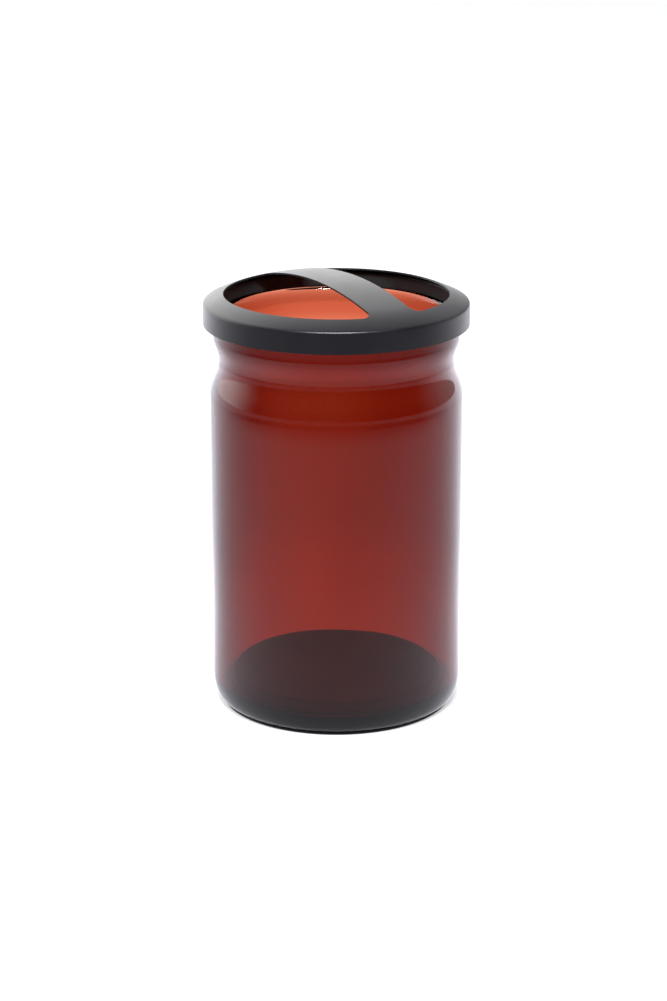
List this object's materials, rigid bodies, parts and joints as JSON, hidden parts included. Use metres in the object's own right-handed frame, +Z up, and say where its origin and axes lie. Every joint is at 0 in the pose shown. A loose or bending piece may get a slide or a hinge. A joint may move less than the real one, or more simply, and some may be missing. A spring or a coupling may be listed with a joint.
{
  "type": "apothecary jar",
  "caption": "Straight amber glass jar with a grooved neck, a lift-off domed metal cap crossed by one strap between two D-shaped openings, a rubber seat ring, a floor liner and a base pad.",
  "frame": {"origin": "middle of the base pad's underside, which rests on the table", "axes": "+Z up along the jar's axis; the cap's strap runs along Y and its two openings face +X and -X"},
  "size_m": [0.076, 0.076, 0.1259],
  "materials": {
    "amber_glass": "clear, polished, red-brown amber through its thickness",
    "black_coated_steel": "satin black powder coat",
    "black_rubber": "matte"
  },
  "bodies": {
    "jar": {"glass_jar": "amber_glass", "floor_liner": "black_rubber", "base_pad": "black_rubber"},
    "seat": {"cap_seat": "black_rubber"},
    "lid": {"cap": "black_coated_steel"}
  },
  "joints": [
    {"name": "cap_lift", "type": "slide", "parent": "jar", "child": "seat", "axis": [0, 0, 1], "range_m": [0, 0.04]},
    {"name": "cap_turn", "type": "hinge", "parent": "seat", "child": "lid", "pos_m": [0, 0, 0.1187], "axis": [0, 0, 1], "continuous": true}
  ]
}
